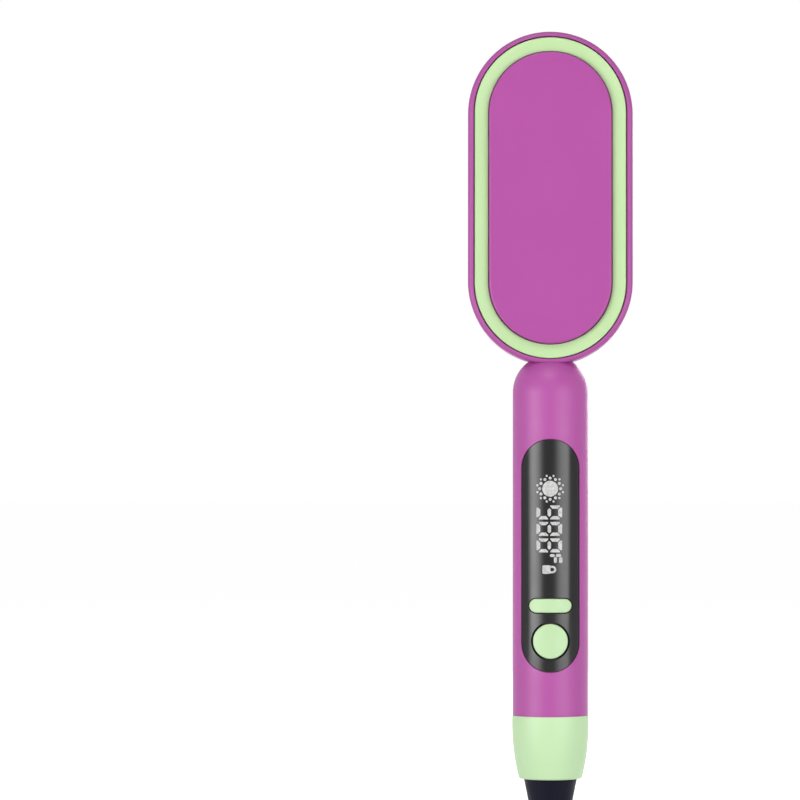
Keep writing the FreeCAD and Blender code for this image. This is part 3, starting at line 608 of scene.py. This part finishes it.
pin_places = [(half_way([p.x for p in ring]), half_way([p.z for p in ring])) for ring in rings]
print("pins", len(pin_places), "from", round(PIN_FOOT, 4), "to", round(PIN_END, 4))

# %% [markdown]
# One pin is drawn out of a flat circle: a low flared foot where the coating gathers, a short fillet,
# then a long taper up to the seat of its tip. Twelve sides with smooth shading look round at this
# size, and keep each of the many copies to a few dozen faces.

# %% Heated pins
FOOT_RADIUS = 1.75 * MM
FOOT_SINK = 0.2 * MM
FOOT_EDGE = 0.15 * MM
FLARE = 0.35 * MM
FILLET = 0.7 * MM

pin = start_piece(bpy.ops.mesh.primitive_circle_add, vertices=12, radius=FOOT_RADIUS, fill_type="NGON",
                  location=(0, PIN_FOOT - FOOT_SINK, 0), rotation=(math.pi / 2, 0, 0))
pin.name = "heated_pins"
bpy.ops.object.mode_set(mode="EDIT")
bpy.ops.mesh.select_all(action="SELECT")
draw_out(FOOT_SINK + FOOT_EDGE, widen=1.0)
draw_out(FLARE, widen=0.84)
draw_out(FILLET, widen=0.86)
draw_out(PIN_END - PIN_FOOT - FOOT_EDGE - FLARE - FILLET, widen=0.62)
leave_mesh()
smooth(pin)
pins = copy_to(pin, pin_places)
pins.data.materials.append(plate_coating)
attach(pins, "housing")
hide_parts("heated_teeth")
print("pins", len(pins.data.polygons), "faces")

# %% [markdown]
# A ball of nylon on each pin keeps the hot metal off the scalp. It starts as a sphere, is cut flat
# where the pin enters it, and the cut is drawn down into a short sleeve round the pin's end.

# %% Ball tips
TIP_RADIUS = 1.15 * MM
SLEEVE = 0.4 * MM
PIN_GAP = 0.25 * MM
TIP_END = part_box("tooth_tips")[1][1]

tip = start_piece(bpy.ops.mesh.primitive_uv_sphere_add, segments=10, ring_count=7, radius=TIP_RADIUS,
                  location=(0, TIP_END - TIP_RADIUS, 0), rotation=(math.pi / 2, 0, 0))
tip.name = "ball_tips"
bpy.ops.object.mode_set(mode="EDIT")
bpy.ops.mesh.select_all(action="SELECT")
bpy.ops.mesh.bisect(plane_co=(0, PIN_END + PIN_GAP, 0), plane_no=(0, 1, 0),
                    use_fill=True, clear_inner=True)
draw_out(-SLEEVE, widen=1.0)
leave_mesh()
smooth(tip, angle=60)
tips = copy_to(tip, pin_places)
tips.data.materials.append(tip_nylon)
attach(tips, "housing")
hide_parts("tooth_tips")
print("tips", len(tips.data.polygons), "faces")

# %% [markdown]
# One cross-head screw holds the head's tenon from the back of the dome. Its head is a short cylinder
# with a rounded rim. The cross is cut with a Boolean, from two crossed bars that are narrower at the
# bottom, as the driver's tip is.

# %% Neck screw
SCREW_RADIUS = 2.5 * MM
SHANK_RADIUS = 1.4 * MM
HEAD_HEIGHT = 2.0 * MM
RIM = 0.45 * MM
CROSS_LENGTH = 3.2 * MM
CROSS_WIDTH = 0.85 * MM
CROSS_DEPTH = 1.2 * MM
CROSS_TAPER = 0.6

screw_low, screw_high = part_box("neck_screw")
screw_z = half_way((screw_low[2], screw_high[2]))
head_top = screw_high[1]
head_foot = head_top - HEAD_HEIGHT
screw = start_piece(bpy.ops.mesh.primitive_cylinder_add, vertices=40, radius=SCREW_RADIUS,
                    depth=HEAD_HEIGHT, location=(0, half_way((head_foot, head_top)), screw_z),
                    rotation=(math.pi / 2, 0, 0))
screw.name = "neck_screw_cross"
bpy.ops.object.mode_set(mode="EDIT")
pick(screw, lambda place: place.y > head_top - SLACK)
bpy.ops.mesh.bevel(offset=RIM, segments=4, affect="EDGES")
pick(screw, lambda place: place.y < head_foot + SLACK)
draw_out(0, widen=SHANK_RADIUS / SCREW_RADIUS)
draw_out(screw_low[1] - head_foot, widen=1.0)
leave_mesh()

for width, height in ((CROSS_LENGTH, CROSS_WIDTH), (CROSS_WIDTH, CROSS_LENGTH)):
    bar = start_piece(bpy.ops.mesh.primitive_cube_add, size=1, location=(0, 0, 0))
    bpy.ops.transform.resize(value=(width, 2 * CROSS_DEPTH, height))
    bpy.ops.transform.translate(value=(0, head_top, screw_z))
    bpy.ops.object.transform_apply(location=True, scale=True)
    bpy.ops.object.mode_set(mode="EDIT")
    pick(bar, lambda place: place.y < head_top)
    bpy.ops.transform.resize(value=(CROSS_TAPER, 1, CROSS_TAPER))
    bpy.ops.object.mode_set(mode="OBJECT")
    cut = screw.modifiers.new("cross", "BOOLEAN")
    cut.operation = "DIFFERENCE"
    cut.solver = "EXACT"
    cut.object = bar
    bpy.context.view_layer.objects.active = screw
    bpy.ops.object.modifier_apply(modifier=cut.name)
    bpy.data.objects.remove(bar)
smooth(screw, angle=30)
screw.data.materials.append(screw_steel)
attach(screw, "housing")
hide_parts("neck_screw")
print("screw", len(screw.data.polygons), "faces, head out to", round(head_top, 4))

# %% [markdown]
# The readout shines through the lens: a sun, three figures, an F and a padlock, all turned to be read
# along the grip. The artwork is drawn flat in front of the lens first, because bars and discs are
# simple there, and is laid onto the curved lens afterwards. A bar is a plane with some corners cut
# off by a vertex bevel.

# %% Readout bars
ART_PLANE = -30 * MM
CORNER = 0.6 * MM
MITRE = 0.85 * MM
art = []


def flat_plate(x, z, along_x, along_z):
    """A plane of that size, with its middle at x and z, in front of the lens."""
    plate = start_piece(bpy.ops.mesh.primitive_plane_add, size=1, location=(0, 0, 0),
                        rotation=(math.pi / 2, 0, 0))
    bpy.ops.transform.resize(value=(along_x, 1, along_z))
    bpy.ops.transform.translate(value=(x, ART_PLANE, z))
    bpy.ops.object.transform_apply(location=True, scale=True)
    return plate


ALL_ROUND = (0, 0, 0)


def flat_bar(x, z, along_x, along_z, inner, cut):
    """One lit bar. Its corners are cut on the side where inner points, or all round."""
    bar = flat_plate(x, z, along_x, along_z)
    bpy.ops.object.mode_set(mode="EDIT")
    side = Vector(inner)
    middle = Vector((x, ART_PLANE, z))
    pick(bar, lambda place: side.length == 0 or (place - middle).dot(side) > 0)
    bpy.ops.mesh.bevel(offset=cut, segments=1, affect="VERTICES")
    bpy.ops.object.mode_set(mode="OBJECT")
    art.append(bar)


TOP_X = 3.85 * MM
TOP_THICK = 1.55 * MM
BASE_X = -4.75 * MM
BASE_THICK = 1.5 * MM
END_SPAN = 3.8 * MM
MIDDLE_X = -0.42 * MM
MIDDLE_THICK = 1.35 * MM
MIDDLE_SPAN = 3.3 * MM
UPPER_X = 1.87 * MM
UPPER_SPAN = 3.8 * MM
LOWER_X = -2.72 * MM
LOWER_SPAN = 3.6 * MM
SIDE_THICK = 1.3 * MM
FIGURE_HALF = 2.1 * MM


def figure(z, lower_left=True):
    """A figure of seven bars. Its top points to +X and it is read towards -Z."""
    flat_bar(TOP_X, z, TOP_THICK, END_SPAN, (-1, 0, 0), MITRE)
    flat_bar(BASE_X, z, BASE_THICK, END_SPAN, (1, 0, 0), MITRE)
    flat_bar(MIDDLE_X, z, MIDDLE_THICK, MIDDLE_SPAN, ALL_ROUND, CORNER)
    flat_bar(UPPER_X, z + FIGURE_HALF, UPPER_SPAN, SIDE_THICK, (0, 0, -1), MITRE)
    flat_bar(UPPER_X, z - FIGURE_HALF, UPPER_SPAN, SIDE_THICK, (0, 0, 1), MITRE)
    flat_bar(LOWER_X, z - FIGURE_HALF, LOWER_SPAN, SIDE_THICK, (0, 0, 1), MITRE)
    if lower_left:
        flat_bar(LOWER_X, z + FIGURE_HALF, LOWER_SPAN, SIDE_THICK, (0, 0, -1), MITRE)


FIRST_FIGURE = 16.47 * MM
FIGURE_PITCH = 6.5 * MM
figure(FIRST_FIGURE, lower_left=False)
figure(FIRST_FIGURE - FIGURE_PITCH)
figure(FIRST_FIGURE - 2 * FIGURE_PITCH)
print("figure bars", len(art))

# %% [markdown]
# The F of the scale is four smaller bars. The sun is a disc with two rings of dots round it, which
# two loops place by angle.

# %% Unit and sun
UNIT_CORNER = 0.35 * MM
UNIT_TOP = -0.52 * MM
UNIT_ARM = UNIT_TOP - 1.78 * MM
UNIT_THICK = 1.15 * MM
ARM_SPAN = 2.3 * MM
for x, span in ((3.2 * MM, 2.1 * MM), (0.75 * MM, 1.9 * MM)):
    flat_bar(x, UNIT_TOP, span, UNIT_THICK, ALL_ROUND, UNIT_CORNER)
for x, thick in ((1.95 * MM, UNIT_THICK), (4.12 * MM, 1.35 * MM)):
    flat_bar(x, UNIT_ARM, thick, ARM_SPAN, ALL_ROUND, UNIT_CORNER)

SUN = Vector((-0.1 * MM, ART_PLANE, 25.83 * MM))
SUN_RADIUS = 3.13 * MM
DOTS = 12
INNER_RING = 4.17 * MM
INNER_DOT = 0.6 * MM
OUTER_RING = 5.22 * MM
OUTER_DOT = 0.44 * MM


def flat_disc(middle, radius, points):
    """A lit round spot."""
    disc = start_piece(bpy.ops.mesh.primitive_circle_add, vertices=points, radius=radius, fill_type="NGON",
                       location=middle, rotation=(math.pi / 2, 0, 0))
    art.append(disc)


flat_disc(SUN, SUN_RADIUS, points=36)
for step in range(DOTS):
    for turn, reach, radius in ((step, INNER_RING, INNER_DOT), (step + 0.5, OUTER_RING, OUTER_DOT)):
        angle = math.tau * turn / DOTS
        outwards = Vector((math.sin(angle), 0, math.cos(angle)))
        flat_disc(SUN + reach * outwards, radius, points=12)
print("with unit and sun", len(art))

# %% [markdown]
# The padlock's shackle is one leg, spun half a turn into an arch and drawn down into the second leg.
# Spin turns the selected edge about an axis and leaves the far end selected, ready to extrude.

# %% Padlock
LOCK_Z = -6.05 * MM
LOCK_X = -1.57 * MM
LOCK_HEIGHT = 3.15 * MM
LOCK_WIDTH = 3.37 * MM
LOCK_CORNER = 0.3 * MM
SHACKLE_X = 0.87 * MM
SHACKLE_INNER = 0.67 * MM
SHACKLE_OUTER = 1.44 * MM

flat_bar(LOCK_X, LOCK_Z, LOCK_HEIGHT, LOCK_WIDTH, ALL_ROUND, LOCK_CORNER)
leg_width = SHACKLE_OUTER - SHACKLE_INNER
shackle = flat_plate(SHACKLE_X / 2, LOCK_Z + SHACKLE_INNER + leg_width / 2, SHACKLE_X, leg_width)
bpy.ops.object.mode_set(mode="EDIT")
pick(shackle, lambda place: place.x > SHACKLE_X / 2)
bpy.ops.mesh.spin(steps=12, angle=math.pi, center=(SHACKLE_X, ART_PLANE, LOCK_Z), axis=(0, -1, 0))
bpy.ops.mesh.extrude_region_move(TRANSFORM_OT_translate={"value": (-SHACKLE_X, 0, 0)})
bpy.ops.object.mode_set(mode="OBJECT")
art.append(shackle)
print("lock spans", [round(value / MM, 2) for value in (shackle.bound_box[0][2], shackle.bound_box[6][2])])

# %% [markdown]
# Now the flat artwork is joined, cut into narrow strips so that it can bend, and projected straight
# back onto the lens with a Shrinkwrap. A Solidify gives it a film's thickness, half of it sunk into
# the lens, so the film is closed and casts no shadow line.

# %% Readout on the lens
STRIP = 0.6 * MM
STRIPS_EACH_WAY = 9
FILM = 0.06 * MM

bpy.ops.object.select_all(action="DESELECT")
for piece in art:
    piece.select_set(True)
readout = art[0]
bpy.context.view_layer.objects.active = readout
bpy.ops.object.join()
readout.name = "lit_readout"
bpy.ops.object.mode_set(mode="EDIT")
for step in range(-STRIPS_EACH_WAY, STRIPS_EACH_WAY + 1):
    bpy.ops.mesh.select_all(action="SELECT")
    bpy.ops.mesh.bisect(plane_co=(step * STRIP, 0, 0), plane_no=(1, 0, 0))
leave_mesh()
wrap = readout.modifiers.new("onto_lens", "SHRINKWRAP")
wrap.target = nodes["display_lens"]
wrap.wrap_method = "PROJECT"
wrap.use_project_y = True
wrap.use_negative_direction = False
wrap.use_positive_direction = True
bpy.ops.object.modifier_apply(modifier=wrap.name)
film = readout.modifiers.new("film", "SOLIDIFY")
film.thickness = FILM
film.offset = 0.0
bpy.ops.object.modifier_apply(modifier=film.name)
bpy.ops.object.mode_set(mode="EDIT")
leave_mesh()
depths = [point.co.y / MM for point in readout.data.vertices]
print("readout", len(readout.data.polygons), "faces")
print("its depth", round(min(depths), 3), "to", round(max(depths), 3))

# %% [markdown]
# The lit film is pale grey with a weak glow of its own, cloudy where the light pipes behind it are
# uneven. A strong glow would burn out to white, which the picture does not show.

# %% Readout finish
FILM_CLOUD = 1.5 * MM


def lit_film():
    """Diffusing film with a weak glow."""
    material, tree, shader, place = start_finish("lit_film")
    clouds = mottle(tree, place, FILM_CLOUD, detail=3.0)
    tint(tree, clouds, (0.32, 0.32, 0.32), (0.48, 0.48, 0.47), shader.inputs["Base Color"])
    spread(tree, clouds, 0.1, 0.2, shader.inputs["Emission Strength"])
    shader.inputs["Emission Color"].default_value = (1, 1, 1, 1)
    shader.inputs["Roughness"].default_value = 0.5
    shader.inputs["Specular IOR Level"].default_value = 0.2
    return material


readout.data.materials.clear()
readout.data.materials.append(lit_film())
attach(readout, "housing")
print("readout finish", readout.data.materials[0].name)

# %% End
print("scene ready")
